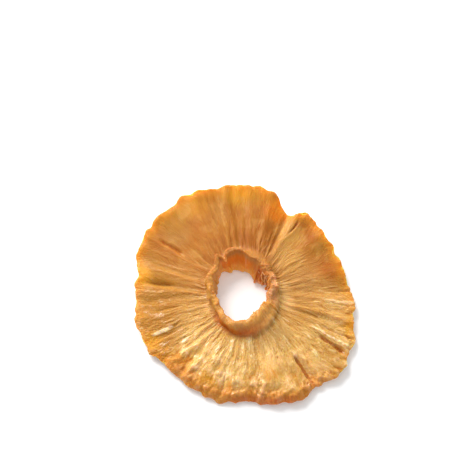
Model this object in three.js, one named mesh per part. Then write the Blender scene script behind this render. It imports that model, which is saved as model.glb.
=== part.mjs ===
// A dried pineapple ring, one piece as it comes off the drying tray: a cross slice of the fruit, peeled
// and cored, whose flesh has shrunk to a thin, pleated sheet. The tougher fibres round the core shrink
// least, so they stand up as a collar round the hole. The ring lies on its underside, and its back has
// curled up.
//
// Millimetres, +Z up, with the ring's front towards -Y. Angles are in degrees about the hole,
// anticlockwise from +X as seen from above. The origin is on the surface the ring lies on, under the
// middle of its outline.

import * as THREE from "three";

// Driving sizes. Each oval is one loop of the ring seen from above, with the hole's middle at x 0, y 0.
const OUTLINE = { width: 83.6, depth: 87.6, x: 0, y: -1.9 };
const COLLAR_FOOT = { width: 26, depth: 35, x: -1.8, y: 0.5 };
const COLLAR_CREST = { width: 23.4, depth: 31, x: -2.2, y: 1.2 };
const HOLE_BASE = { width: 19.4, depth: 24.6, x: -2.1, y: -1.1 };
const COLLAR_HEIGHT = 8.8;
const LIP_HALF_WIDTH = 1.25;

// Heights of the middle of the flesh above the surface the ring lies on, and how far its back has curled
// up behind the line where the curl starts.
const FLESH_AT_COLLAR = 3.3;
const FLESH_AT_RIM = 1.9;
const FRONT_ARCH = 1.1;
const BACK_LIFT = 8.5;
const LIFT_STARTS_AT = 2;

// Thickness of the flesh, how much more or less of it there is at the collar, at the rim and at the puffy
// front, and the share of the flesh's width over which the front edge slopes down.
const FLESH_THICKNESS = 2;
const MORE_AT_COLLAR = 0.9;
const LESS_AT_RIM = 0.4;
const MORE_AT_FRONT = 1.1;
const THINNEST = 0.9;
const FRONT_DIRECTION = 262;
const FRONT_EDGE_SLOPE = 0.065;

// Heights and reaches of the relief.
const RUFFLE_HEIGHT = 0.75;
const SCALLOP_REACH = 0.32;
const BROAD_PLEAT_HEIGHT = 0.2;
const FINE_PLEAT_HEIGHT = 0.2;
const UNDER_PLEAT_HEIGHT = 0.3;
const LUMP_HEIGHT = 0.8;
const FOOT_GROOVE_DEPTH = 0.9;
const CREST_WAVE_HEIGHT = 0.35;
const WALL_FIBRE_REACH = 0.25;
const FIBRE_SWAY_ANGLE = 2;

// How far the outline swells out (+) or is drawn in (-) from its oval.
const OUTLINE_SWELLS = [
  { at: 12, span: 24, by: -2.3 },
  { at: 36, span: 24, by: -1.7 },
  { at: 54, span: 12, by: -0.8 },
  { at: 61, span: 7, by: -1.2 },
  { at: 67, span: 8.5, by: -4.4 },
  { at: 78, span: 15, by: 2.7 },
  { at: 97, span: 22, by: 3.9 },
  { at: 119, span: 20, by: 3.7 },
  { at: 136, span: 18, by: 3.3 },
  { at: 154, span: 18, by: 4 },
  { at: 170, span: 14, by: 1.3 },
  { at: 188, span: 22, by: 0.8 },
  { at: 210, span: 24, by: -0.1 },
  { at: 230, span: 20, by: -2.7 },
  { at: 250, span: 18, by: -1.9 },
  { at: 270, span: 18, by: -4.2 },
  { at: 291, span: 14, by: -0.9 },
  { at: 310, span: 20, by: 0.4 },
  { at: 330, span: 18, by: 2 },
  { at: 346, span: 14, by: -1 },
];

// Where the collar leans in or out, and where its crest stands higher or is notched.
const CREST_LEAN = [
  { at: 30, span: 30, by: 0.3 },
  { at: 60, span: 18, by: -0.8 },
  { at: 83, span: 20, by: -1.9 },
  { at: 111, span: 17, by: 1.6 },
  { at: 123.5, span: 5.5, by: -2.2 },
  { at: 131, span: 11, by: 2.8 },
  { at: 157, span: 17, by: 1.9 },
  { at: 212, span: 34, by: -1.3 },
  { at: 254, span: 18, by: -0.8 },
  { at: 273, span: 22, by: -1.8 },
  { at: 303, span: 40, by: -1.8 },
  { at: 346, span: 24, by: -1.1 },
];
const CREST_RISE = [
  { at: 20, span: 34, by: 0.8 },
  { at: 98, span: 30, by: 0.9 },
  { at: 123.5, span: 5.5, by: -1.5 },
  { at: 132, span: 13, by: 0.9 },
  { at: 210, span: 36, by: -0.9 },
  { at: 320, span: 30, by: 0.4 },
];
const FOOT_SWELLS = [
  { at: 160, span: 20, by: 2.1 },
  { at: 214, span: 30, by: -1.4 },
  { at: 244, span: 18, by: -1 },
  { at: 282, span: 16, by: 0.4 },
  { at: 308, span: 22, by: 1.1 },
];
const LIP_SWELLS = [
  { at: 90, span: 65, by: -0.5 },
  { at: 180, span: 60, by: -0.1 },
  { at: 280, span: 80, by: 0.6 },
  { at: 355, span: 50, by: 0.6 },
];
const WALL_LUMPS = [
  { at: 29, span: 16, by: -1.8 },
  { at: 52, span: 17, by: -2.4 },
  { at: 71, span: 18, by: -2.8 },
  { at: 113, span: 18, by: 1.2 },
  { at: 131, span: 14, by: 2.3 },
  { at: 145, span: 26, by: 1.7 },
  { at: 180, span: 24, by: 0.5 },
];

// Creases along the fibres: the share of the way from collar to rim that each runs, its half width in
// degrees, its depth, and the height of the lip along its anticlockwise (+) or clockwise (-) side.
const CREASES = [
  { at: 53.5, from: 0.48, to: 0.94, half: 1.8, depth: 1, lip: 0.9 },
  { at: 65, from: 0.16, to: 1.2, half: 4.2, depth: 1.9, lip: -1.1 },
  { at: 107, from: 0.5, to: 1.2, half: 3.4, depth: 0.9, lip: -0.4 },
  { at: 142, from: 0.42, to: 0.85, half: 2.4, depth: 1, lip: 0.3 },
  { at: 171.5, from: 0.42, to: 0.96, half: 2, depth: 1, lip: 0.8 },
  { at: 206.5, from: 0.4, to: 0.9, half: 2, depth: 0.8, lip: -1 },
  { at: 219, from: 0.36, to: 1.1, half: 2, depth: 0.9, lip: -0.7 },
  { at: 230, from: 0.5, to: 1.1, half: 2.4, depth: 0.9, lip: 0.5 },
  { at: 255, from: 0.6, to: 1.1, half: 2.6, depth: 1, lip: 0.4 },
  { at: 306, from: 0.5, to: 0.95, half: 1.8, depth: 1.5, lip: 0.8 },
  { at: 328, from: 0.5, to: 0.94, half: 1.8, depth: 1.3, lip: 1 },
];

// Rounded swellings of the front half's flesh: direction and distance from the hole's middle, radius and
// height.
const BLISTERS = [
  { at: 281, away: 35, radius: 6, height: 1.1 },
  { at: 300, away: 31, radius: 4, height: 0.7 },
  { at: 262, away: 34, radius: 4.5, height: 0.8 },
  { at: 244, away: 37, radius: 4.5, height: 0.9 },
  { at: 233, away: 34, radius: 3.6, height: 0.7 },
  { at: 318, away: 42, radius: 4, height: 0.8 },
];

const STEPS_ROUND = 236;
const FULL_TURN = 360;

const radians = THREE.MathUtils.degToRad;
const mix = THREE.MathUtils.lerp;
const ease = (value, from, to) => THREE.MathUtils.smoothstep(value, from, to);

// A repeatable stream of numbers from 0 to 1.
function seeded(seed) {
  let state = seed;
  return () => {
    state = (state * 16807) % 2147483647;
    return state / 2147483647;
  };
}

// The signed angle from one direction to another, from -180 to 180.
function angleBetween(from, to) {
  return ((((to - from) % FULL_TURN) + FULL_TURN * 1.5) % FULL_TURN) - FULL_TURN / 2;
}

// Adds up rounded swells, each centred on an angle and fading out over its span to either side.
function swellAt(angle, swells) {
  let total = 0;
  for (const { at, span, by } of swells) {
    const away = Math.abs(angleBetween(at, angle)) / span;
    if (away < 1) total += by * 0.5 * (1 + Math.cos(Math.PI * away));
  }
  return total;
}

// An uneven wave round the ring, between about -1 and 1, with from slowest to fastest waves a turn.
function unevenWave(seed, slowest, fastest) {
  const draw = seeded(seed);
  const parts = [];
  for (let waves = slowest; waves <= fastest; waves += 1 + Math.floor((fastest - slowest) / 9)) {
    parts.push({ waves, size: 0.5 + draw(), phase: FULL_TURN * draw() });
  }
  const reach = Math.sqrt(parts.reduce((sum, part) => sum + part.size ** 2, 0));
  const waveOf = (part, angle) => part.size * Math.cos(radians(part.waves * angle + part.phase));
  return (angle) => parts.reduce((sum, part) => sum + waveOf(part, angle), 0) / reach;
}

// Soft lumps over the plane, between -1 and 1, one to each cell of the given pitch.
function lumpField(seed, pitch) {
  const draw = seeded(seed);
  const cells = 24;
  const heights = Array.from({ length: cells * cells }, () => 2 * draw() - 1);
  const wrapped = (cell) => ((cell % cells) + cells) % cells;
  const height = (column, row) => heights[wrapped(row) * cells + wrapped(column)];
  return (x, y) => {
    const column = Math.floor(x / pitch);
    const row = Math.floor(y / pitch);
    const across = ease(x / pitch - column, 0, 1);
    const up = ease(y / pitch - row, 0, 1);
    const near = mix(height(column, row), height(column + 1, row), across);
    const far = mix(height(column, row + 1), height(column + 1, row + 1), across);
    return mix(near, far, up);
  };
}

// The distance from the hole's middle to an oval loop, in the given direction.
function ovalRadius(angle, oval) {
  const across = Math.cos(radians(angle)) / (oval.width / 2);
  const along = Math.sin(radians(angle)) / (oval.depth / 2);
  const offAcross = oval.x / (oval.width / 2);
  const offAlong = oval.y / (oval.depth / 2);
  const a = across ** 2 + along ** 2;
  const b = across * offAcross + along * offAlong;
  const c = offAcross ** 2 + offAlong ** 2 - 1;
  return (b + Math.sqrt(b ** 2 - a * c)) / a;
}

const ruffle = unevenWave(11, 8, 17);
const rimScallop = unevenWave(23, 24, 58);
const broadPleat = unevenWave(37, 22, 34);
const finePleat = unevenWave(41, 40, 58);
const underPleat = unevenWave(53, 18, 42);
const crestWave = unevenWave(67, 5, 17);
const wallFibre = unevenWave(71, 18, 36);
const fibreSway = unevenWave(83, 4, 9);
const fleshLump = lumpField(97, 4.6);

// The loops that the cross section hangs on.
function rimRadius(angle) {
  return ovalRadius(angle, OUTLINE) + swellAt(angle, OUTLINE_SWELLS) + SCALLOP_REACH * rimScallop(angle);
}

function footRadius(angle) {
  return ovalRadius(angle, COLLAR_FOOT) + swellAt(angle, FOOT_SWELLS) + 0.25 * crestWave(angle + 40);
}

function crestRadius(angle) {
  const leant = ovalRadius(angle, COLLAR_CREST) + swellAt(angle, CREST_LEAN);
  return leant + CREST_WAVE_HEIGHT * crestWave(angle);
}

function holeRadius(angle) {
  return ovalRadius(angle, HOLE_BASE) + swellAt(angle, WALL_LUMPS) + WALL_FIBRE_REACH * wallFibre(angle);
}

function crestHeight(angle) {
  return COLLAR_HEIGHT + swellAt(angle, CREST_RISE) + CREST_WAVE_HEIGHT * crestWave(angle + 90);
}

// How much the back half curls up at a distance y behind the hole.
function backLift(y) {
  const share = Math.max(0, y - LIFT_STARTS_AT) / (OUTLINE.depth / 2 - LIFT_STARTS_AT);
  return BACK_LIFT * share ** 1.6;
}

// The front rim dried puffy and lumpy, and the back and sides dried thin.
function frontness(angle) {
  return 1 - ease(Math.abs(angleBetween(FRONT_DIRECTION, angle)), 22, 62);
}

function creaseAt(angle, share) {
  let height = 0;
  for (const { at, from, to, half, depth, lip } of CREASES) {
    const off = angleBetween(at, angle) / half;
    if (Math.abs(off) > 4) continue;
    const run = ease(share, from, from + 0.16) * (1 - ease(share, to - 0.12, to));
    const side = off * Math.sign(lip) - 1.5;
    height += run * (Math.abs(lip) * Math.exp(-side * side) - depth * Math.exp(-off * off));
  }
  return height;
}

function blisterAt(x, y) {
  let height = 0;
  for (const { at, away, radius, height: tall } of BLISTERS) {
    const off = Math.hypot(x - away * Math.cos(radians(at)), y - away * Math.sin(radians(at))) / radius;
    height += tall * (1 - ease(off, 0.1, 1));
  }
  return height;
}

// The flesh between the collar's foot (share 0) and the rim (share 1): its place and both faces' heights.
function fleshAt(angle, share) {
  const radius = mix(footRadius(angle), rimRadius(angle), share);
  const x = radius * Math.cos(radians(angle));
  const y = radius * Math.sin(radians(angle));
  const swayed = angle + FIBRE_SWAY_ANGLE * fibreSway(angle + 50 * share) * share;
  const front = frontness(angle);
  const pleated = ease(share, 0, 0.16) * (1 - 0.5 * front * ease(share, 0.4, 0.7));

  let middle = mix(FLESH_AT_COLLAR, FLESH_AT_RIM, ease(share, 0.1, 1)) + backLift(y);
  middle += FRONT_ARCH * Math.sin(Math.PI * share) * ease(-y, -12, 24);
  middle += RUFFLE_HEIGHT * ruffle(angle) * share ** 1.7 * (0.6 + 0.4 * ease(y, -20, 20));
  middle += BROAD_PLEAT_HEIGHT * broadPleat(swayed) * pleated * (0.5 + 0.6 * share);
  middle += creaseAt(angle, share) + blisterAt(x, y);
  middle -= FOOT_GROOVE_DEPTH * (1 - ease(share, 0.02, 0.12)) * (1 - 0.7 * ease(y, -6, 8));

  let thick = FLESH_THICKNESS + MORE_AT_COLLAR * (1 - ease(share, 0, 0.25));
  thick += MORE_AT_FRONT * front * ease(share, 0.45, 0.8) - LESS_AT_RIM * ease(share, 0.3, 0.9);
  const lumps = LUMP_HEIGHT * fleshLump(x, y) * ease(share, 0.25, 0.7) * (0.4 + 0.9 * front);
  const top = middle + thick / 2 + lumps + FINE_PLEAT_HEIGHT * finePleat(swayed) * pleated;
  const underPleats = UNDER_PLEAT_HEIGHT * underPleat(swayed) * pleated;
  const under = Math.max(0, middle - thick / 2 + 0.5 * lumps + underPleats);
  return { radius, top: Math.max(top, under + THINNEST), under };
}

// One closed cross section through the ring at an angle, as distances from the hole's middle and heights.
// It runs in over the top of the flesh, over the collar, down the hole's wall and back out underneath.
function sectionAt(angle) {
  const points = [];
  const add = (radius, height) => points.push({ radius, height });
  const front = frontness(angle);
  const edge = 0.985 - FRONT_EDGE_SLOPE * front;
  for (const share of [edge, edge - 0.07, 0.79, 0.69, 0.58, 0.46, 0.33, 0.2, 0.08, 0]) {
    const { radius, top } = fleshAt(angle, share);
    add(radius, top);
  }

  const crest = crestRadius(angle);
  const high = crestHeight(angle) + 0.6 * backLift(crest * Math.sin(radians(angle)));
  const hole = holeRadius(angle);
  const foot = fleshAt(angle, 0);
  const lipHalf = LIP_HALF_WIDTH + swellAt(angle, LIP_SWELLS) + 0.15 * crestWave(angle + 200);
  add(mix(foot.radius, crest + lipHalf, 0.25), mix(foot.top, high, 0.32));
  add(mix(foot.radius, crest + lipHalf, 0.85), mix(foot.top, high, 0.72));
  add(crest + lipHalf * 0.6, high - 0.25);
  add(crest - lipHalf * 0.4, high - 0.1);
  add(crest - lipHalf, high - 1.1);
  add(mix(crest - lipHalf, hole, 0.4), high * 0.6 + 0.2 * wallFibre(angle + 30));
  add(mix(crest - lipHalf, hole, 0.85) + 0.2 * wallFibre(angle), high * 0.34);
  add(hole, 1);
  add(hole + 1.1, 0);
  add(mix(hole + 2.6, foot.radius, 0.3), 0);

  for (const share of [0.2, 0.46, 0.7, 0.9]) {
    const { radius, under } = fleshAt(angle, share);
    add(radius, under);
  }
  const rim = fleshAt(angle, 1);
  add(rim.radius, mix(rim.under, rim.top, 0.5 - 0.3 * front));
  return points;
}

// Joins the cross sections into one closed skin, two triangles to each patch.
function ringGeometry() {
  const sections = [];
  for (let step = 0; step < STEPS_ROUND; step += 1) {
    sections.push(sectionAt((FULL_TURN * step) / STEPS_ROUND));
  }
  const across = sections[0].length;
  const positions = [];
  sections.forEach((section, step) => {
    const direction = radians((FULL_TURN * step) / STEPS_ROUND);
    for (const { radius, height } of section) {
      positions.push(radius * Math.cos(direction), radius * Math.sin(direction), height);
    }
  });
  const faces = [];
  for (let step = 0; step < STEPS_ROUND; step += 1) {
    const next = (step + 1) % STEPS_ROUND;
    for (let point = 0; point < across; point += 1) {
      const beside = (point + 1) % across;
      const a = step * across + point;
      const b = next * across + point;
      const c = next * across + beside;
      const d = step * across + beside;
      faces.push(a, b, c, a, c, d);
    }
  }
  const geometry = new THREE.BufferGeometry();
  geometry.setAttribute("position", new THREE.Float32BufferAttribute(positions, 3));
  geometry.setIndex(faces);
  geometry.computeBoundingBox();
  const { min, max } = geometry.boundingBox;
  geometry.translate(-(min.x + max.x) / 2, -(min.y + max.y) / 2, -min.z);
  geometry.computeVertexNormals();
  return geometry;
}

const driedFlesh = new THREE.MeshStandardMaterial({ color: 0xdfa24c, roughness: 0.45, metalness: 0 });

const ring = new THREE.Mesh(ringGeometry(), driedFlesh);
ring.name = "pineapple_ring";

const part = new THREE.Group();
part.add(ring);

export default part;
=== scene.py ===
import math

import bmesh
import bpy
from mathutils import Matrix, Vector


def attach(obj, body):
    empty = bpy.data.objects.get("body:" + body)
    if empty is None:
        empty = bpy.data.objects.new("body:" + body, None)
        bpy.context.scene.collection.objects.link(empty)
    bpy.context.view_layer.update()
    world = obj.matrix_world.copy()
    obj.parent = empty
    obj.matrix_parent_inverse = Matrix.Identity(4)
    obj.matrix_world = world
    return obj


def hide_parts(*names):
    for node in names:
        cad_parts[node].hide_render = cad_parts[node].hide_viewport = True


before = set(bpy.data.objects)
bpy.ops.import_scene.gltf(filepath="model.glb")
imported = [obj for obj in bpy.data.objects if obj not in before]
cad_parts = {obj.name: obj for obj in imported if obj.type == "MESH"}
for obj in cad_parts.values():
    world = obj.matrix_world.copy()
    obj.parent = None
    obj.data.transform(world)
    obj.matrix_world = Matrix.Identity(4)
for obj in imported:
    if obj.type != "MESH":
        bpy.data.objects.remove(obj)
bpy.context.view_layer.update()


# The ring: one cross slice of fresh pineapple, peeled, cored and dried in warm air until it is leathery.
# The flesh has shrunk to a thin sheet of radial fibres, and the tougher fibres round the core stand up as
# a collar. It is one piece as cut, with nothing joined to it.
MM_PER_M = 1000
MERGE_DISTANCE = 0.000001
SUBDIVISIONS = 2
LOWEST_HEIGHT = 0.00002

# The middle of the hole, and three ovals set out from it: the collar's foot, its crest and the ring's rim.
HOLE_X_MM = 0.8
HOLE_Y_MM = -1.1
FOOT_X_MM = -1.8
FOOT_Y_MM = 0.5
FOOT_HALF_WIDTH_MM = 13
FOOT_HALF_DEPTH_MM = 17.5
CREST_X_MM = -2.2
CREST_Y_MM = 1.2
CREST_HALF_WIDTH_MM = 11.7
CREST_HALF_DEPTH_MM = 15.5
OUTLINE_X_MM = 0
OUTLINE_Y_MM = -1.9
OUTLINE_HALF_WIDTH_MM = 41.8
OUTLINE_HALF_DEPTH_MM = 43.8

# Directions about the hole, here and below, are in degrees from the ring's right side, anticlockwise.
FRONT_DIRECTION = 262

# How the fibres sway from side to side on their way out, in waves to a mm and radians, and how the slits
# do, in waves to a mm and mm.
BROAD_SWAY_WAVES = 0.09
BROAD_SWAY = 0.05
CLOSE_SWAY_WAVES = 0.28
CLOSE_SWAY = 0.007
SLIT_SWAY_WAVES = 0.16
SLIT_SWAY_MM = 0.35

# A spot is at full strength within this share of its reach. A slit or welt fades over these lengths past
# its ends and before them, and over this many half widths beside it.
SPOT_CORE = 0.25
FADE_PAST_END_MM = 1.5
FADE_BEFORE_END_MM = 2
FADE_HALF_WIDTHS = 1.7

# Slits that opened along the fibres as the flesh dried: direction, start and end in mm from the hole's
# middle, half width in mm, and strength, which multiplies the slit depth.
SLITS = [
    (304, 30, 43, 0.65, 1.1),
    (327.6, 31, 43, 0.75, 0.9),
    (335.8, 30, 43, 0.5, 0.5),
    (57.0, 30.5, 36, 0.4, 0.9),
    (64.8, 19, 36, 0.8, 0.45),
    (207.8, 30, 39, 0.5, 0.3),
    (171.5, 29, 39, 0.4, 0.35),
    (146, 30.5, 41, 0.65, 0.8),
    (112.3, 30, 42, 0.6, 0.3),
    (206.5, 28, 38, 0.4, 0.2),
    (230, 30, 39, 0.4, 0.25),
    (255, 33, 40, 0.45, 0.4),
    (4, 30, 40, 0.4, 0.3),
    (347, 27, 38, 0.4, 0.35),
    (190, 26, 36, 0.35, 0.25),
]

# Welts of puffed-up fibre between them, painted pale as highlights: direction, start, end, half
# width, and strength, which multiplies the welt height.
WELTS = [
    (204, 31, 39.5, 0.75, 0.5),
    (217.8, 28, 32, 0.7, 0.45),
    (242, 23, 27, 0.9, 0.35),
    (228, 19, 22.5, 0.4, 0.2),
    (235, 20, 23, 0.35, 0.2),
    (305, 27.5, 30, 0.5, 0.4),
    (356.2, 29, 41, 0.7, 0.45),
    (331.4, 27, 43, 0.6, 0.45),
    (316, 36.5, 39.5, 0.6, 0.25),
    (60.6, 21, 42, 1.5, 0.12),
    (67.5, 19, 34, 0.5, 0.15),
    (71, 18, 27, 0.4, 0.25),
    (75, 18, 25, 0.35, 0.2),
    (177, 31, 41, 0.5, 0.25),
    (106.5, 28, 43, 1.1, 0.3),
    (157.5, 25, 41, 0.6, 0.2),
    (149, 26, 34, 0.5, 0.18),
    (152.5, 30, 40, 0.4, 0.15),
    (163, 27, 39, 0.5, 0.18),
]

# Spots where the folds have relaxed and the flesh is flatter: x and y in mm from the hole's middle, reach
# in mm, and strength.
RELAXED_SPOTS = [
    (19, 26, 11, 1.0),
    (16, 30, 9, 1.0),
    (11, 22, 8, 0.7),
    (31, 13, 16, 0.5),
    (-31, -15, 10, 0.8),
    (-27, -22, 8, 0.6),
    (-28, 22, 12, 0.7),
    (-12, 30, 10, 0.4),
    (32, -19, 9, 0.8),
]

# Places where the rim stretched out or shrank back as it dried: direction and half span in degrees, and
# mm outwards.
RIM_SHIFTS = [
    (294, 8, 1.6),
    (319, 8, 1.7),
    (302.3, 4, -1.2),
    (327.5, 5, -1.2),
    (270, 10, 0.9),
    (204, 15, 0.9),
    (232, 10, 0.9),
    (60.5, 4, -0.8),
    (53, 7, 1.3),
    (130, 26, 2.5),
    (140.5, 8, 1.2),
    (120.5, 8, 0.8),
    (155, 12, 2.0),
    (175, 11, 1.0),
    (190, 10, 1.1),
]

# Places where the drying flesh was drawn aside: x, y and reach in mm, the heights in mm between which the
# pull sets in, and how far it goes along x and y in mm.
PULLS = [
    (11.5, 47.5, 9, -2, -1, -1.2, -1.2),
    (6.2, 4.4, 5, 7, 4, 1.4, 0.9),
    (5, -9.5, 6.5, 3.5, 7.5, -0.5, 0.8),
    (3.2, -8.9, 1.7, 5, 7, -0.6, 0.9),
    (5.9, -5.6, 1.7, 5, 7, -0.8, 0.6),
]

# How the surface is smoothed: fully in the relaxed spots, a little where the collar's lip rolls over at
# the front right, and mostly where its foot slopes out at the right.
SMOOTHING_ROUNDS = 120
ROLLED_SMOOTHING = 0.08
SLOPED_SMOOTHING = 0.8

# Spots of other colours in the flesh, some of them painted light, shade, glow and sheen: x and y in mm
# from the hole's middle, reach in mm, and strength.
# Dull olive spots, and spots of painted grey sheen, the sky's reflection, at the back left.
DULL_AND_SHEEN_SPOTS = [
    (-11, 33, 6, 0.2),
    (-28, 25, 8, 0.4),
    (9, -14, 5, 0.4),
    (20, 5, 9, 0.3),
    (12, -18, 7, 0.5),
    (3, -19, 7, 0.6),
]
# Amber spots; some of them are painted shade over places where the flesh catches much light.
AMBER_AND_SHADE_SPOTS = [
    (-30, 1, 15, 0.8),
    (-28, -15, 8, 0.6),
    (-33, -22, 8, 0.9),
    (-16, -34, 6, 0.6),
    (-35, -10, 11, 0.8),
    (-28, -29, 6, 0.8),
    (31, -24, 7, 0.5),
    (28, 23, 10, 0.7),
    (18, 36, 8, 0.7),
    (-29, 31, 10, 0.8),
    (-38, 15, 6, 0.6),
    (37, 9, 9, 0.8),
    (-36, 10, 8, 0.8),
    (-39, -6, 8, 0.9),
    (-37.5, -19, 6, 0.6),
    (3, -36, 7, 0.5),
    (17, -33, 6, 0.4),
    (40, -13, 5, 0.4),
    (22, -9, 6, 0.4),
    (14, 23, 6, 0.4),
]
# Painted glow where the flesh dried thin and clear; the deep orange spots add painted shade to it.
ORANGE_GLOW_SPOTS = [(12.5, 34, 8, 0.9)]
DEEP_ORANGE_SPOTS = [(5, 25, 9, 0.7), (24.5, 25, 7, 0.9), (32.5, 12, 7.5, 0.9)]
# Painted yellow glow, mostly along the rim, where the thin flesh lets light through.
YELLOW_GLOW_SPOTS = [
    (-20, 37, 7, 0.35),
    (-4, 42, 8, 0.7),
    (5, 41, 7, 0.25),
    (-41, 8, 6, 0.8),
    (-31, -25, 6, 0.4),
    (39, -13, 5, 0.8),
    (-15, -36, 7, 0.6),
    (-36, -18, 5, 0.6),
]
GOLD_SPOTS = [(15, 15, 10, 0.8), (16, 26, 7, 0.8)]
# Paler spots; those at the collar's right foot are painted light that lifts the collar's shadow there.
CREAM_AND_PAINTED_LIGHT_SPOTS = [
    (8, -27, 6, 0.35),
    (-17, -18, 7, 0.3),
    (14, -3, 5, 0.8),
    (13, 3, 4, 0.6),
    (-14.5, -5, 4, 0.6),
    (26, -32, 7, 0.7),
    (20, -24, 5, 0.4),
    (33, -9, 5, 0.3),
    (-25, -34, 7, 0.6),
]

# How much the fruit bends light, and, in metres, how deep light goes in and how deep the skin's hair is.
REFRACTION = 1.45
FLESH_GLOW_DEPTH = 0.0018
SKIN_BUMP_DEPTH = 0.00025


class Wire:
    """A socket of a node tree. Sums on it add Math nodes, and make adds any other node."""

    def __init__(self, tree, socket=None):
        self.tree = tree
        self.socket = socket

    def make(self, kind, settings=None, values=None, out=0):
        """A new node's output, given the node's settings, and a value or a wire for each input."""
        node = self.tree.nodes.new(kind)
        for name, value in (settings or {}).items():
            setattr(node, name, value)
        for name, value in (values or {}).items():
            if isinstance(value, Wire):
                self.tree.links.new(value.socket, node.inputs[name])
            else:
                node.inputs[name].default_value = value
        return Wire(self.tree, node.outputs[out] if node.outputs else None)

    def output(self, out):
        """Another output of the same node."""
        return Wire(self.tree, self.socket.node.outputs[out])

    def maths(self, operation, *terms):
        return self.make("ShaderNodeMath", {"operation": operation}, dict(enumerate(terms)))

    def __add__(self, other):
        return self.maths("ADD", self, other)

    __radd__ = __add__

    def __sub__(self, other):
        return self.maths("SUBTRACT", self, other)

    def __rsub__(self, other):
        return self.maths("SUBTRACT", other, self)

    def __mul__(self, other):
        return self.maths("MULTIPLY", self, other)

    __rmul__ = __mul__

    def __truediv__(self, other):
        return self.maths("DIVIDE", self, other)

    def __pow__(self, other):
        return self.maths("POWER", self, other)

    def __abs__(self):
        return self.maths("ABSOLUTE", self)

    def most(self, other):
        return self.maths("MAXIMUM", self, other)

    def least(self, other):
        return self.maths("MINIMUM", self, other)

    def between(self, low, high):
        """0 below low, 1 above high and smooth between them, or falling where low is above high."""
        settings = {"interpolation_type": "SMOOTHSTEP", "clamp": True}
        values = {"Value": self, "From Min": min(low, high), "From Max": max(low, high)}
        values |= {"To Min": float(low > high), "To Max": float(low < high)}
        return self.make("ShaderNodeMapRange", settings, values)

    def vector(self, x, y, z):
        return self.make("ShaderNodeCombineXYZ", None, {0: x, 1: y, 2: z})

    def parts(self):
        """The x, y and z of a vector."""
        x = self.make("ShaderNodeSeparateXYZ", None, {0: self})
        return x, x.output(1), x.output(2)

    def vector_maths(self, operation, other):
        return self.make("ShaderNodeVectorMath", {"operation": operation}, {0: self, 1: other})

    def noise(self, place, scale, detail=2, roughness=0.5):
        """Soft noise, mostly from -1 to 1."""
        values = {"Vector": place, "Scale": scale, "Detail": detail, "Roughness": roughness}
        return self.make("ShaderNodeTexNoise", {"noise_dimensions": "3D"}, values) * 4 - 2

    def mixed(self, first, second, share):
        """A colour part of the way from first to second."""
        return self.make("ShaderNodeMix", {"data_type": "RGBA"}, {0: share, 6: first, 7: second}, 2)


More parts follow.
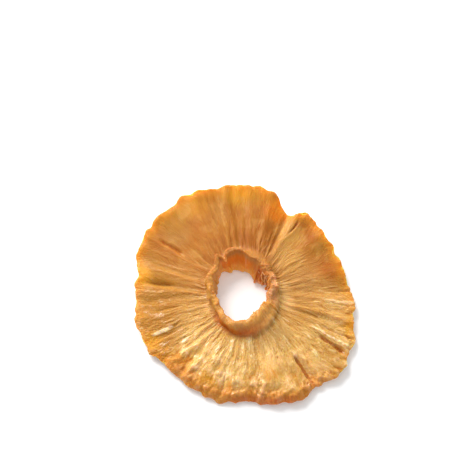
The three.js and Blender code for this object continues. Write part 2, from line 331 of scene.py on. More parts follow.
class RingPlace:
    """Where a point of the ring is, in mm and directions about the hole, from its position in metres."""

    def __init__(self, position):
        start = Wire(position.tree)
        self.start = start
        x, y, z = position.parts()
        self.x = x * MM_PER_M - HOLE_X_MM
        self.y = y * MM_PER_M - HOLE_Y_MM
        self.z = z * MM_PER_M
        self.plane = start.vector(self.x, self.y, 0)
        self.solid = start.vector(self.x, self.y, self.z)
        self.away = (self.x * self.x + self.y * self.y) ** 0.5
        self.direction = start.maths("ARCTAN2", self.y, self.x)

        # The direction of the fibre that the point is on, and how far the slits bend aside there.
        broad_sway = start.noise(self.plane, BROAD_SWAY_WAVES, 1) * BROAD_SWAY
        close_sway = start.noise(self.plane, CLOSE_SWAY_WAVES, 1) * CLOSE_SWAY
        self.swayed = self.direction + broad_sway + close_sway
        self.bend = start.noise(self.plane, SLIT_SWAY_WAVES, 1) * SLIT_SWAY_MM

        # Each is 1 on its oval: the collar's foot, the collar's crest and the rim.
        self.collar = self.oval(FOOT_X_MM, FOOT_Y_MM, FOOT_HALF_WIDTH_MM, FOOT_HALF_DEPTH_MM)
        self.crest = self.oval(CREST_X_MM, CREST_Y_MM, CREST_HALF_WIDTH_MM, CREST_HALF_DEPTH_MM)
        self.outline = self.oval(OUTLINE_X_MM, OUTLINE_Y_MM, OUTLINE_HALF_WIDTH_MM, OUTLINE_HALF_DEPTH_MM)

        # The puffy front, and the two stretches at the back where the flesh dried smooth.
        self.front = self.towards(FRONT_DIRECTION, 23, 63)
        far_left = self.towards(122, 40, 62) * self.outline.between(0.3, 0.5)
        far_right = self.towards(36, 16, 32) * self.outline.between(0.55, 0.75)
        self.smooth = far_left.most(far_right)

    def oval(self, x, y, half_width, half_depth):
        """1 on the oval, less inside it and more outside."""
        across = (self.x - x) / half_width
        along = (self.y - y) / half_depth
        return (across * across + along * along) ** 0.5

    def near(self, x, y, reach):
        """1 round a place given in mm from the hole's middle, fading to 0 at the reach."""
        across = self.x - x
        along = self.y - y
        return ((across * across + along * along) ** 0.5).between(reach, reach * SPOT_CORE)

    def spots(self, spots):
        """The sum of near over several spots, each times its strength."""
        total = 0
        for x, y, reach, strength in spots:
            total = self.near(x, y, reach) * strength + total
        return total

    def towards(self, degrees, inner, outer):
        """1 in directions within inner degrees of the given one, fading to 0 at outer."""
        turn = self.start.maths("COSINE", self.direction - math.radians(degrees))
        return turn.between(math.cos(math.radians(outer)), math.cos(math.radians(inner)))

    def streak(self, degrees, begin, end, half_width):
        """1 along a line in mm that runs out from the hole, fading to 0 beside it and at its ends."""
        turn = math.radians(degrees)
        along = self.x * math.cos(turn) + self.y * math.sin(turn)
        aside = abs(self.y * math.cos(turn) - self.x * math.sin(turn) + self.bend)
        run = along.between(begin - FADE_PAST_END_MM, begin + FADE_BEFORE_END_MM)
        run = run * along.between(end + FADE_PAST_END_MM, end - FADE_BEFORE_END_MM)
        return run * aside.between(half_width * FADE_HALF_WIDTHS, 0)

    def streaks(self, lines):
        """The sum of streak over several lines, each times its strength."""
        total = 0
        for degrees, begin, end, half_width, strength in lines:
            total = self.streak(degrees, begin, end, half_width) * strength + total
        return total

    def strands(self, round_the_ring, stretch, seed, detail=2):
        """Noise in fibres that run out from the hole, about so many to a full turn."""
        reach = round_the_ring / (2 * math.pi)
        across = self.start.maths("COSINE", self.swayed) * reach
        along = self.start.maths("SINE", self.swayed) * reach
        return self.start.noise(self.start.vector(across, along, self.away * stretch + seed), 1, detail)


def open_tree(name, sizes):
    """A new geometry tree with the named sizes as its inputs, and wires from its geometry and its sizes."""
    tree = bpy.data.node_groups.new(name, "GeometryNodeTree")
    tree.interface.new_socket("Geometry", in_out="INPUT", socket_type="NodeSocketGeometry")
    tree.interface.new_socket("Geometry", in_out="OUTPUT", socket_type="NodeSocketGeometry")
    for label, size in sizes.items():
        socket = tree.interface.new_socket(label, in_out="INPUT", socket_type="NodeSocketFloat")
        socket.default_value = size
    entry = tree.nodes.new("NodeGroupInput")
    return Wire(tree, entry.outputs["Geometry"]), {name: Wire(tree, entry.outputs[name]) for name in sizes}


def closed_tree(geometry, material):
    """The tree that a wire of geometry is in, ended with plain geometry of one material."""
    geometry = geometry.make("GeometryNodeRealizeInstances", None, {"Geometry": geometry})
    geometry = geometry.make("GeometryNodeSetMaterial", None, {"Geometry": geometry, "Material": material})
    leave = geometry.tree.nodes.new("NodeGroupOutput")
    geometry.tree.links.new(geometry.socket, leave.inputs["Geometry"])
    return geometry.tree


def drying_shift(position):
    """How far each point moves as the flesh relaxes or is drawn aside, before it gets its relief."""
    place = RingPlace(position)
    relaxed = place.spots(RELAXED_SPOTS).least(1) * place.outline.between(0.98, 0.9)
    rolled = place.towards(312, 25, 50) * place.crest.between(1.3, 1.15) * place.z.between(3.5, 5.5)
    sloped = place.towards(-20, 28, 58) * place.collar.between(0.88, 0.96)
    sloped = sloped * place.collar.between(1.6, 1.3) * place.z.between(6.0, 4.5)
    weight = relaxed.most(rolled * ROLLED_SMOOTHING).most(sloped * SLOPED_SMOOTHING)
    smoothed = position.make(
        "GeometryNodeBlurAttribute",
        {"data_type": "FLOAT_VECTOR"},
        {"Value": position, "Iterations": SMOOTHING_ROUNDS, "Weight": weight},
    )

    # Only where the lip rolls over does the smoothing move points sideways too.
    smoothing = smoothed.vector_maths("SUBTRACT", position)
    smoothing = smoothing.vector_maths("MULTIPLY", position.vector(rolled, rolled, 1))

    across = 0
    along = 0
    for x, y, reach, low, high, x_pull, y_pull in PULLS:
        pull = place.near(x, y, reach) * place.z.between(low, high)
        across = pull * x_pull + across
        along = pull * y_pull + along
    stretch = 0
    for degrees, span, outwards in RIM_SHIFTS:
        stretch = place.towards(degrees, 0, span) * outwards + stretch
    stretch = stretch * place.outline.between(0.78, 1) / place.away
    across = (across + place.x * stretch) / MM_PER_M
    along = (along + place.y * stretch) / MM_PER_M
    return smoothing.vector_maths("ADD", position.vector(across, along, 0))


def flesh_tree(material):
    """Geometry nodes that turn the plain ring into dried flesh: fibres, puckers, lumps and slits."""
    sizes = {
        "Fibre height": 0.00014,
        "Fine fibre height": 0.00014,
        "Crest height": 0.00016,
        "Pucker height": 0.00022,
        "Lump height": 0.0009,
        "Pleat height": 0.0004,
        "Wrinkle height": 0.0002,
        "Grain height": 0.00012,
        "Rim crinkle height": 0.00045,
        "Rim tooth height": 0.00012,
        "Rim scallop height": 0.00045,
        "Front lip height": 0.0005,
        "Collar fibre height": 0.0002,
        "Collar bead height": 0.0004,
        "Collar foot fill": 0.0005,
        "Far lip thinning": 0.0005,
        "Wall fibre height": 0.00015,
        "Wall lump height": 0.0003,
        "Wall hollow depth": 0.0006,
        "Slit depth": 0.001,
        "Welt height": 0.001,
    }
    plain, size = open_tree("dried flesh", sizes)
    start = Wire(plain.tree)
    fine = start.make("GeometryNodeSubdivisionSurface", None, {"Mesh": plain, "Level": SUBDIVISIONS})
    shift = drying_shift(start.make("GeometryNodeInputPosition"))
    fine = start.make("GeometryNodeSetPosition", None, {"Geometry": fine, "Offset": shift})

    # Which part of the ring a point is on: its underside, the lip, the hole's wall, the flesh or the rim.
    place = RingPlace(start.make("GeometryNodeInputPosition"))
    normal = start.make("GeometryNodeInputNormal")
    normal_x, normal_y, upward = normal.parts()
    holeward = (normal_x * place.x + normal_y * place.y) / place.away * -1
    under = upward.between(0.1, -0.4)
    lip = upward.between(0.15, 0.75) * place.crest.between(1.3, 1.1)
    inner = holeward.between(0.15, 0.45) * upward.between(0.93, 0.7) * place.crest.between(1.3, 1.2)
    flesh = place.collar.between(0.98, 1.12) * (1 - inner)
    turned_out = start.maths("LESS_THAN", abs(upward), 0.45) * place.outline.between(0.7, 0.71)
    rim_points = start.make(
        "GeometryNodeSeparateGeometry", {"domain": "POINT"}, {"Geometry": fine, "Selection": turned_out}
    )
    from_rim = start.make(
        "GeometryNodeProximity", {"target_element": "POINTS"}, {"Geometry": rim_points}, "Distance"
    ) * MM_PER_M
    edge = from_rim.between(2.4, 0.6)
    near_collar = place.collar.between(1.9, 1.05) * (1 - 0.4 * place.towards(228, 20, 42))
    ragged = place.towards(38, 22, 44) * inner
    near_side = place.towards(275, 55, 85)
    back = place.y.between(-20, 8)

    # Relief patterns, mostly from -1 to 1.
    broad_fibre = place.strands(150, 0.13, seed=3)
    fine_fibre = place.strands(300, 0.3, seed=21)
    pucker = place.strands(130, 0.1, seed=47, detail=1)
    crest = place.strands(200, 0.22, seed=5, detail=1).between(0.3, 1.0)
    pleat = place.strands(74, 0.05, seed=61, detail=1)
    collar_fibre = place.strands(120, 0.03, seed=71, detail=3)
    lump = start.noise(place.plane, 0.3, 2)
    wrinkle = start.noise(place.plane, 0.75, 1)
    crinkle = start.noise(place.plane, 0.42, 2)
    patchy = start.noise(place.plane, 0.11, 1)
    grain = start.noise(place.solid, 1.3, 2, 0.6)
    bead = start.noise(place.solid, 0.62, 2)
    wall_lump = start.noise(place.solid, 0.8, 2)
    shifted = start.vector(place.x + wrinkle * 0.5, place.y + lump * 1.2, 0)
    puff = 0.6 - start.make(
        "ShaderNodeTexVoronoi",
        {"feature": "SMOOTH_F1"},
        {"Vector": shifted, "Scale": 0.27, "Smoothness": 0.45},
    )

    # The flesh: fibres and pleats everywhere, and lumps along the front.
    lumpy = place.front * (place.outline + lump * 0.05).between(0.5, 0.72)
    calm = (1 - 0.35 * back) * (1 - 0.5 * under) * (0.9 + 0.6 * patchy) * (1 - 0.6 * place.smooth)
    fibres = broad_fibre * size["Fibre height"]
    fibres = fibres + fine_fibre * size["Fine fibre height"] * place.collar.between(1.1, 1.8) * (1.5 - back)
    pleated = place.towards(224, 20, 42) * place.outline.between(0.45, 0.65)
    fibres = (fibres + crest * size["Crest height"]) * (1 - 0.75 * lumpy)
    fibres = fibres + pleat * size["Pleat height"] * pleated
    lumps = (lump * 0.4 + puff) * size["Lump height"] * lumpy
    lumps = lumps + wrinkle * size["Wrinkle height"] * (0.3 + 0.7 * lumpy)
    lumps = lumps + grain * size["Grain height"] * (1 - 0.7 * back) * (1 - 0.5 * lumpy)
    frill = from_rim.between(6, 2) * (1 - 0.6 * back) * (1 + place.towards(312, 18, 34))
    lumps = lumps + crinkle * size["Rim crinkle height"] * frill
    height = (fibres + lumps) * flesh * calm * (1 - 0.5 * edge)
    right_wall = place.towards(2, 50, 80) * upward.between(-0.1, 0.2) * (1 - inner)
    puckered = near_collar * flesh.most(right_wall * 0.8) * (1 - 0.5 * under)
    height = height + pucker * size["Pucker height"] * puckered
    front_lip = place.towards(272, 20, 45) * from_rim.between(4.6, 3.2) * from_rim.between(1.6, 2.6)
    height = height + front_lip * (0.5 + 0.5 * wrinkle) * size["Front lip height"]

    # The collar: fibres and beads outside, fibres, lumps and a hollow on the hole's wall, a filled foot.
    rough = (1 - flesh) * (1 - 0.6 * near_side) * (1 - 0.4 * place.towards(115, 30, 60))
    fibrous = rough * (1 - 0.5 * lip) * (1 - 0.6 * inner)
    height = height + place.strands(140, 0.1, seed=29) * size["Wall fibre height"] * inner
    height = height + collar_fibre.most(-0.2) * size["Collar fibre height"] * fibrous
    height = height + (bead + 0.3).most(0) * size["Collar bead height"] * rough * (0.3 + 0.7 * lip)
    groove = place.collar.between(0.88, 0.98) * place.collar.between(1.12, 1.02) * upward.between(-0.2, 0.3)
    height = height + groove * size["Collar foot fill"] * (1 - 0.5 * place.towards(222, 24, 50))
    thinner = (1 - flesh) * (1 - inner) * place.z.between(6, 8) * back
    height = height - thinner * size["Far lip thinning"]
    height = height + wall_lump * size["Wall lump height"] * ragged
    hollow = ragged * place.z.between(2.6, 4.0) * place.z.between(7.2, 5.6)
    height = height - hollow * size["Wall hollow depth"]

    # The rim's teeth and scallops, and the slits and welts, which are on the top alone.
    height = height + place.strands(250, 0.1, seed=91) * size["Rim tooth height"] * edge
    height = height + place.strands(62, 0.05, seed=83, detail=1) * size["Rim scallop height"] * edge
    slit = place.streaks(SLITS) * upward.between(0, 0.4)
    welt = place.streaks(WELTS) * upward.between(0, 0.4) * (0.75 + 0.5 * grain)
    height = height - slit * size["Slit depth"] + welt * size["Welt height"]

    # Each point moves along its normal, and none goes below the surface that the ring lies on.
    moved = start.make("ShaderNodeVectorMath", {"operation": "SCALE"}, {0: normal, "Scale": height})
    shaped = start.make("GeometryNodeSetPosition", None, {"Geometry": fine, "Offset": moved})
    shaped_x, shaped_y, shaped_z = start.make("GeometryNodeInputPosition").parts()
    resting = start.vector(shaped_x, shaped_y, shaped_z.most(LOWEST_HEIGHT))
    shaped = start.make("GeometryNodeSetPosition", None, {"Geometry": shaped, "Position": resting})

    # What the material reads: the relief from valley to crest, from about -1 to 1, and the masks.
    relief = broad_fibre * 0.45 + fine_fibre * 0.4 + pucker * 0.3 * near_collar + crest * 0.6
    relief = relief * (1 - 0.75 * lumpy) + (puff * 1.9 + lump * 0.4) * lumpy
    relief = relief + wrinkle * (0.1 + 0.15 * lumpy)
    relief = relief + grain * 0.35 * (1 - 0.6 * back) + pleat * 0.3 * pleated
    relief = relief + crinkle * 0.5 * frill
    relief = relief * flesh * (0.9 + 0.5 * patchy)
    relief = relief + pucker * 0.4 * near_collar * flesh.most(right_wall)
    relief = relief + (collar_fibre * 0.4 + bead * 0.5) * rough + wall_lump * 0.4 * ragged
    for name, value in {
        "relief": relief,
        "slit": slit,
        "welt": welt,
        "from_rim": from_rim,
        "inner": inner,
        "lumpy": lumpy,
        "hollow": hollow,
    }.items():
        settings = {"data_type": "FLOAT", "domain": "POINT"}
        values = {"Geometry": shaped, "Name": name, "Value": value}
        shaped = start.make("GeometryNodeStoreNamedAttribute", settings, values)
    shaped = start.make("GeometryNodeSetShadeSmooth", None, {"Geometry": shaped})
    return closed_tree(shaped, material)


def linear(red, green, blue):
    """A colour given in bytes, as the light it sends back."""
    shares = [part / 255 for part in (red, green, blue)]
    return (*(s / 12.92 if s <= 0.04045 else ((s + 0.055) / 1.055) ** 2.4 for s in shares), 1)


def blank_look(name):
    """A new material without nodes, and a wire to start them from."""
    material = bpy.data.materials.new(name)
    material.use_nodes = True
    material.node_tree.nodes.clear()
    return material, Wire(material.node_tree)


def flesh_material():
    """Dried pineapple flesh: crests painted pale as highlights, valleys painted amber as shade, and deep
    orange painted glow and shade where it is thin or creased.
    """
    # The flesh at the front and at the back, where it is a deeper orange, partly its own colour and partly
    # painted shade, and its spots.
    front_crest = linear(246, 216, 158)
    front_body = linear(212, 166, 90)
    front_valley = linear(186, 122, 42)
    back_crest = linear(204, 148, 66)
    back_body = linear(180, 112, 28)
    back_valley = linear(156, 86, 14)
    dull_sheen_tan = linear(178, 136, 76)
    amber_tan = linear(176, 118, 28)
    painted_glow_orange = linear(218, 124, 8)
    deep_orange = linear(172, 96, 4)
    painted_glow_yellow = linear(222, 156, 20)
    bright_gold = linear(206, 154, 74)
    pale_cream = linear(244, 198, 126)

    # The lumps, the rim, the slits and the welts.
    lump_highlight_pale = linear(248, 204, 146)
    lump_glow_amber = linear(220, 138, 28)
    rim_glow_yellow = linear(232, 156, 26)
    edge_shade_amber = linear(194, 122, 36)
    edge_shade_red = linear(190, 86, 26)
    slit_shade_brown = linear(176, 96, 16)
    highlight_cream = linear(252, 226, 178)
    back_highlight_gold = linear(206, 148, 70)

    # The collar, its lip and the hole's wall.
    collar_brown = linear(188, 124, 54)
    collar_amber = linear(192, 98, 12)
    foot_shade_brown = linear(166, 114, 44)
    lip_tan = linear(186, 124, 58)
    lip_gold = linear(204, 144, 66)
    lip_glow = linear(228, 166, 78)
    lip_pink = linear(226, 164, 112)
    wall_tan = linear(210, 136, 64)
    wall_glow_orange = linear(232, 130, 32)
    wall_red = linear(212, 116, 48)
    wall_gold = linear(252, 180, 80)
    wall_pink = linear(240, 186, 146)
    hollow_shade_brown = linear(204, 102, 32)

    material, start = blank_look("dried_flesh_look")
    place = RingPlace(start.make("ShaderNodeTexCoord", None, None, "Object"))
    stored = {
        name: start.make("ShaderNodeAttribute", {"attribute_name": name}, None, "Fac")
        for name in ("relief", "slit", "welt", "from_rim", "inner", "lumpy", "hollow")
    }
    relief = stored["relief"]
    from_rim = stored["from_rim"]
    inner = stored["inner"]
    lumpy = stored["lumpy"] * 0.8
    hair = place.strands(460, 0.2, seed=13, detail=3)
    crest = relief + hair * 0.25 * (1 - 0.6 * stored["lumpy"])
    patch = start.noise(place.plane, 0.075, 3)
    fleck = start.noise(place.solid, 0.9, 3, 0.6)
    back = (place.y + patch * 5).between(-24, 24)
    flesh = (place.collar + hair * 0.03 + relief * 0.03).between(0.95, 1.12) * (1 - inner)

    # The flesh: its body's colour, with painted highlight on the crests and painted shade in the valleys,
    # each changed in the spots.
    body = start.mixed(front_body, back_body, back)
    crest_colour = start.mixed(front_crest, back_crest, back)
    valley_colour = start.mixed(front_valley, back_valley, back)
    for spot_colour, spots in (
        (dull_sheen_tan, DULL_AND_SHEEN_SPOTS),
        (amber_tan, AMBER_AND_SHADE_SPOTS),
        (painted_glow_orange, ORANGE_GLOW_SPOTS),
        (deep_orange, DEEP_ORANGE_SPOTS),
        (painted_glow_yellow, YELLOW_GLOW_SPOTS),
        (bright_gold, GOLD_SPOTS),
        (pale_cream, CREAM_AND_PAINTED_LIGHT_SPOTS),
    ):
        share = place.spots(spots)
        body = start.mixed(body, spot_colour, share)
        crest_colour = start.mixed(crest_colour, spot_colour, share * 0.6)
        valley_colour = start.mixed(valley_colour, spot_colour, share * 0.6)
    near_collar = place.collar.between(1.7, 1.05)
    body = start.mixed(body, valley_colour, near_collar * back * 0.6)
    # The lumps: painted highlight on their crests and painted glow in their valleys.
    crest_colour = start.mixed(crest_colour, lump_highlight_pale, lumpy)
    valley_colour = start.mixed(valley_colour, lump_glow_amber, lumpy)
    plain = 1 - 0.45 * place.smooth
    colour = start.mixed(body, crest_colour, crest.between(0.0, 1.0) * plain * 0.85)
    colour = start.mixed(colour, valley_colour, crest.between(0.1, -0.7) * plain * 0.85)
    cloud = place.strands(36, 0.14, seed=51) * place.smooth
    colour = start.mixed(colour, bright_gold, cloud.between(0.1, 0.9) * 0.45)
    colour = start.mixed(colour, back_valley, cloud.between(-0.1, -0.9) * 0.4)

    # Painted light: glints on the front, glow on the rim, highlights on the welts, and shade in the slits
    # and on the front edge.
    glint = place.strands(150, 0.3, seed=33).between(0.5, 1.1) * (1 - back) * (1 - 0.7 * lumpy)
    glint = glint * place.outline.between(0.4, 0.52)
    glint = glint * (0.15 + 0.85 * place.towards(242, 28, 48))
    colour = start.mixed(colour, highlight_cream, glint * 0.8)
    # The thin rim's painted glow, stronger at the back.
    outer = (from_rim + patch * 1.5).between(5.5, 0.5)
    colour = start.mixed(colour, rim_glow_yellow, outer * (0.15 + 0.3 * back) * (1 + patch))
    # Painted shade in the slits.
    colour = start.mixed(colour, slit_shade_brown, stored["slit"].between(0.1, 0.8) * 0.8)
    # Painted highlights on the welts, cream at the front and gold at the back.
    welt = stored["welt"].between(0.05, 0.35)
    colour = start.mixed(colour, start.mixed(highlight_cream, back_highlight_gold, back), welt * 0.85)
    # Painted shade on the front edge: amber along its band, red on its side face.
    front_side = (from_rim + fleck * 0.7).between(3.0, 1.6)
    front_band = (from_rim + patch * 1.5 - crest).between(6.5, 2.0)
    colour = start.mixed(colour, edge_shade_amber, front_band * place.towards(266, 34, 60) * 0.8)
    colour = start.mixed(colour, edge_shade_red, front_side * place.towards(277, 10, 22) * (0.5 + 0.4 * fleck))

    # The hole's wall: painted orange glow at the back, gold low down at the back left, ragged pink at the
    # back right with painted highlights on its lumps, and painted shade in its hollow.
    ragged = place.towards(38, 18, 42)
    near_side = place.towards(265, 34, 62)
    bead = start.noise(place.solid, 0.62, 2)
    sheen_patch = start.noise(place.solid, 0.35, 3, 0.6)
    wall = start.mixed(wall_tan, wall_glow_orange, place.towards(106, 12, 34))
    wall = start.mixed(wall, wall_pink, place.strands(80, 0.1, seed=37).between(0.3, 1.2) * 0.4)
    wall = start.mixed(wall, wall_red, (fleck * 0.4 + ragged * 0.5).between(0, 1) * 0.7)
    # Painted shade in the wall's hollow.
    wall = start.mixed(wall, hollow_shade_brown, stored["hollow"] * 0.8)
    low_wall = (place.z + fleck).between(6.0, 2.4) * place.towards(118, 26, 50)
    low_wall = low_wall.most(place.towards(146, 10, 26) * 0.5)
    wall = start.mixed(wall, wall_gold, low_wall * 0.85)
    wall_foot = ragged * (place.z + fleck * 0.4).between(2.6, 1.4)
    # Pink at the wall's foot, and pink painted highlights on the crests of its ragged lumps.
    pink_ends_and_highlights = (wall_foot + ragged * crest.between(0.3, 0.8) * 0.5).least(0.8)
    wall = start.mixed(wall, wall_pink, pink_ends_and_highlights)

    # The collar's lip, with painted glow at the front right, and its outer wall, with painted sheen and
    # painted shade, which takes on the flesh's colour at the right.
    lip = start.mixed(lip_tan, lip_gold, place.towards(225, 70, 110))
    # Painted glow on the lip at the front right.
    lip = start.mixed(lip, lip_glow, place.towards(-58, 18, 42) * (0.7 + 0.3 * fleck))
    lip = start.mixed(lip, lip_pink, place.towards(5, 22, 38) * (bead * 0.5 + 0.5).least(1))
    outer_wall = start.mixed(collar_brown, collar_amber, near_side)
    # Painted sheen: patches of lighter gold on the outer wall.
    outer_wall = start.mixed(outer_wall, lip_gold, (sheen_patch * 0.5 + bead * 0.3).between(0, 0.8) * 0.6)
    outer_wall = start.mixed(outer_wall, colour, place.towards(-12, 40, 75) * 0.75)
    lip_top = (place.z + relief * 0.6 - near_side * 1.4).between(4.2, 7.0)
    # Behind the far lip, painted shade of the crease under its roll: the outer wall's colour in place of
    # the lip's.
    lip_top = lip_top * (1 - place.crest.between(1.08, 1.2) * back)
    collar = start.mixed(outer_wall, lip, lip_top)
    # Painted shade in the collar's valleys.
    collar = start.mixed(collar, collar_brown, relief.between(-0.1, -0.9) * 0.6)
    wall = start.mixed(wall, lip_tan, place.z.between(6.4, 9.2) * place.towards(80, 60, 80) * 0.9)
    wall = start.mixed(wall, lip, place.towards(200, 40, 70) * 0.7)
    collar = start.mixed(collar, wall, inner)
    colour = start.mixed(collar, colour, flesh)
    # Painted shade in the crease at the collar's foot, darkest at the front left.
    foot = place.collar.between(1.08, 1.02) * place.collar.between(0.94, 1.0) * place.z.between(5.4, 3.8)
    colour = start.mixed(colour, foot_shade_brown, foot * (0.1 + 0.5 * place.towards(222, 24, 60)))

    # The finish: satin, glossier on the front's crests, and rough with hair and specks.
    roughness = 0.48 - crest * 0.08 + sheen_patch * 0.1 - (welt + glint) * 0.18
    gloss = (crest * 0.5 + sheen_patch * 0.7).between(0.1, 0.9) + (welt + glint) * 0.6
    gloss = gloss * (1 - back * 0.9) + (1 - flesh) * near_side * 0.3
    speck = start.noise(place.solid, 1.3, 3, 0.6)
    grain = (hair * 0.5 + speck * 0.8 * (1 - 0.6 * back)) * (1 - 0.5 * place.smooth) * (1 - 0.6 * lumpy)
    bump = start.make(
        "ShaderNodeBump", None, {"Strength": 0.8, "Distance": SKIN_BUMP_DEPTH, "Height": grain}
    )
    shader = start.make(
        "ShaderNodeBsdfPrincipled",
        {"subsurface_method": "RANDOM_WALK"},
        {
            "Base Color": colour,
            "Roughness": roughness.most(0.2).least(0.8),
            "Normal": bump,
            "IOR": REFRACTION,
            "Specular IOR Level": 0.28,
            "Coat Weight": gloss.least(1),
            "Coat Roughness": 0.18,
            "Subsurface Weight": 0.8,
            "Subsurface Radius": (1.0, 0.55, 0.16),
            "Subsurface Scale": FLESH_GLOW_DEPTH,
        },
    )
    start.make("ShaderNodeOutputMaterial", None, {"Surface": shader})
    return material


def placed(name, data):
    """A new object of the scene, at the origin."""
    thing = bpy.data.objects.new(name, data)
    bpy.context.scene.collection.objects.link(thing)
    return thing


def merged_copy(node, name):
    """A copy of a CAD node with its corners merged and its triangles joined, mostly in pairs."""
    mesh = bpy.data.meshes.new(name)
    shell = bmesh.new()
    shell.from_mesh(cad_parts[node].data)
    bmesh.ops.remove_doubles(shell, verts=shell.verts, dist=MERGE_DISTANCE)
    bmesh.ops.join_triangles(
        shell, faces=shell.faces[:], angle_face_threshold=math.pi, angle_shape_threshold=math.pi
    )
    shell.to_mesh(mesh)
    shell.free()
    return placed(name, mesh)


def made_with(tree, source, name):
    """The plain mesh object that a geometry tree makes of the source object, which is then removed."""
    source.modifiers.new("shape", "NODES").node_group = tree
    evaluated = source.evaluated_get(bpy.context.evaluated_depsgraph_get())
    mesh = bpy.data.meshes.new_from_object(evaluated)
    mesh.name = name
    piece = placed(name, mesh)
    bpy.data.objects.remove(source)
    return piece


ring = made_with(flesh_tree(flesh_material()), merged_copy("pineapple_ring", "plain_ring"), "dried_ring")
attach(ring, "root")
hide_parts("pineapple_ring")


# Loose strands of core fibre: tough, pale ends that the corer tore and that dried where they hung, along
# the hole's wall at the back right. They grow out of the collar, so they move with it.
STRAND_COUNT = 26
STRAND_LENGTH = 0.0036
STRAND_HALF_THICKNESS = 0.0002
STRAND_SAG = 0.0006
STRAND_SIDES = 6
STRAND_STEPS = 8
STRAND_SEED = 5
STRAND_GLOW_DEPTH = 0.001

# Where they grow, in degrees about the hole and in metres above the floor, and how small and large they
# come, as shares of the sizes above.
STRANDS_FROM = 24
STRANDS_TO = 70
LOWEST_STRAND = 0.0044
HIGHEST_STRAND = 0.007
SMALLEST_STRAND = 0.6
LARGEST_STRAND = 1.1


def strand_tree(material):
    """Geometry nodes that hang bent, tapered strands on the wall of the ring that they are given."""
    sizes = {
        "Strand length": STRAND_LENGTH,
        "Strand half thickness": STRAND_HALF_THICKNESS,
        "Strand sag": STRAND_SAG,
    }
    ring_surface, size = open_tree("core strands", sizes)
    start = Wire(ring_surface.tree)

    def chance(low, high, number):
        """A random value for each strand, from its own seed."""
        values = {2: low, 3: high, "Seed": STRAND_SEED + number}
        return start.make("FunctionNodeRandomValue", {"data_type": "FLOAT"}, values, 1)

    turn = chance(math.radians(STRANDS_FROM), math.radians(STRANDS_TO), 0)
    across = start.maths("COSINE", turn)
    along = start.maths("SINE", turn)
    height = chance(LOWEST_STRAND, HIGHEST_STRAND, 1)
    wall = {
        "Target Geometry": ring_surface,
        "Source Position": start.vector(HOLE_X_MM / MM_PER_M, HOLE_Y_MM / MM_PER_M, height),
        "Ray Direction": start.vector(across, along, 0),
    }
    hit = start.make("GeometryNodeRaycast", None, wall, "Hit Position")
    facing = hit.output("Hit Normal")
    points = start.make("GeometryNodePoints", None, {"Count": STRAND_COUNT, "Position": hit})

    ends = {
        "Start": start.vector(0, 0, size["Strand half thickness"] * -1.5),
        "Middle": start.vector(size["Strand length"] * 0.5, 0, size["Strand sag"]),
        "End": start.vector(size["Strand length"], 0, size["Strand sag"] * -0.2),
    }
    line = start.make("GeometryNodeCurveQuadraticBezier", None, {"Resolution": STRAND_STEPS, **ends})
    so_far = start.make("GeometryNodeSplineParameter")
    taper = so_far.between(-0.2, 0.2) * so_far.between(1.02, 0.5)
    line = start.make("GeometryNodeSetCurveRadius", None, {"Curve": line, "Radius": taper})
    section = start.make(
        "GeometryNodeCurvePrimitiveCircle",
        None,
        {"Resolution": STRAND_SIDES, "Radius": size["Strand half thickness"]},
    )
    strand = start.make(
        "GeometryNodeCurveToMesh", None, {"Curve": line, "Profile Curve": section, "Fill Caps": True}
    )
    strand = start.make("GeometryNodeSetShadeSmooth", None, {"Geometry": strand})
    lie = start.vector(along + chance(-0.5, 0.3, 2), across * -1, chance(-1.4, 0.1, 3))
    turned = start.make("FunctionNodeAxesToRotation", None, {"Primary Axis": facing, "Secondary Axis": lie})
    scale = chance(SMALLEST_STRAND, LARGEST_STRAND, 4)
    hung = start.make(
        "GeometryNodeInstanceOnPoints",
        None,
        {"Points": points, "Instance": strand, "Rotation": turned, "Scale": scale},
    )
    return closed_tree(hung, material)


def strand_material():
    """Dried core fibre: pale pinkish tan with browner streaks."""
    pale_tan = linear(244, 186, 132)
    brown_tan = linear(214, 140, 76)
    material, start = blank_look("core_strand_look")
    place = RingPlace(start.make("ShaderNodeTexCoord", None, None, "Object"))
    fleck = start.noise(place.solid, 1.1, 2)
    shader = start.make(
        "ShaderNodeBsdfPrincipled",
        {"subsurface_method": "RANDOM_WALK"},
        {
            "Base Color": start.mixed(pale_tan, brown_tan, fleck.between(-0.5, 0.7)),
            "Roughness": 0.45,
            "IOR": REFRACTION,
            "Subsurface Weight": 0.6,
            "Subsurface Radius": (1.0, 0.55, 0.2),
            "Subsurface Scale": STRAND_GLOW_DEPTH,
        },
    )
    start.make("ShaderNodeOutputMaterial", None, {"Surface": shader})
    return material


wall_to_hang_on = placed("wall_to_hang_on", ring.data.copy())
strands = made_with(strand_tree(strand_material()), wall_to_hang_on, "core_strands")
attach(strands, "root")


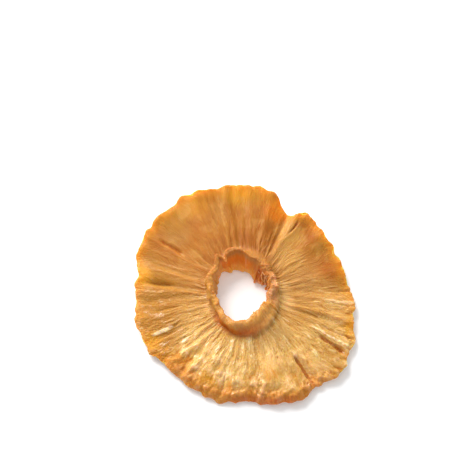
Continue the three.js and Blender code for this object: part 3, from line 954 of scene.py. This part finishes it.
# The floor: a plain, matt, nearly white surface for the ring to lie on. It glows faintly, so that it stays
# pale far from the window.
FLOOR_SIZE = 4
FLOOR_GREY = 0.93
FLOOR_GLOW = 0.1
bpy.ops.mesh.primitive_plane_add(size=FLOOR_SIZE)
floor = bpy.context.object
floor.name = "floor"
floor_look = bpy.data.materials.new("pale_floor")
floor_look.use_nodes = True
floor_inputs = floor_look.node_tree.nodes["Principled BSDF"].inputs
floor_inputs["Base Color"].default_value = (FLOOR_GREY, FLOOR_GREY, FLOOR_GREY, 1)
floor_inputs["Roughness"].default_value = 0.8
floor_inputs["Emission Color"].default_value = (1, 1, 1, 1)
floor_inputs["Emission Strength"].default_value = FLOOR_GLOW
floor.data.materials.append(floor_look)


# The light: one large soft window behind and to the left, and an even, plain white sky.
WINDOW_SIZE = 0.5
WINDOW_POWER = 8.6
WINDOW_PLACE = Vector((-0.32, 0.5, 0.42))
SKY_STRENGTH = 0.7
window = placed("window", bpy.data.lights.new("window", "AREA"))
window.data.energy = WINDOW_POWER
window.data.size = WINDOW_SIZE
window.location = WINDOW_PLACE
window.rotation_euler = (-WINDOW_PLACE).to_track_quat("-Z", "Y").to_euler()

sky = bpy.data.worlds.new("sky")
sky.use_nodes = True
sky_inputs = sky.node_tree.nodes["Background"].inputs
sky_inputs["Color"].default_value = (1, 1, 1, 1)
sky_inputs["Strength"].default_value = SKY_STRENGTH
bpy.context.scene.world = sky
bpy.context.scene.view_settings.view_transform = "Standard"


# The camera: it looks down at the ring from the front, with the ring's middle where the photograph has it.
PHOTO_SIZE = 450
RING_PIXEL = (246, 293)
RING_MIDDLE = Vector((0, 0, 0.004))
CAMERA_ELEVATION = math.radians(61.5)
CAMERA_DISTANCE = 0.42
FOCAL_PIXELS = 1100
SENSOR_WIDTH_MM = 36
camera = placed("camera", bpy.data.cameras.new("camera"))
camera.data.sensor_width = SENSOR_WIDTH_MM
camera.data.lens = SENSOR_WIDTH_MM * FOCAL_PIXELS / PHOTO_SIZE
ahead = Vector((0, math.cos(CAMERA_ELEVATION), -math.sin(CAMERA_ELEVATION)))
sideways = Vector((1, 0, 0))
upwards = sideways.cross(ahead)
ray = ahead
ray = ray + sideways * (RING_PIXEL[0] - PHOTO_SIZE / 2) / FOCAL_PIXELS
ray = ray - upwards * (RING_PIXEL[1] - PHOTO_SIZE / 2) / FOCAL_PIXELS
camera.location = RING_MIDDLE - ray * CAMERA_DISTANCE
camera.rotation_euler = ahead.to_track_quat("-Z", "Y").to_euler()
bpy.context.scene.camera = camera

bpy.context.view_layer.update()
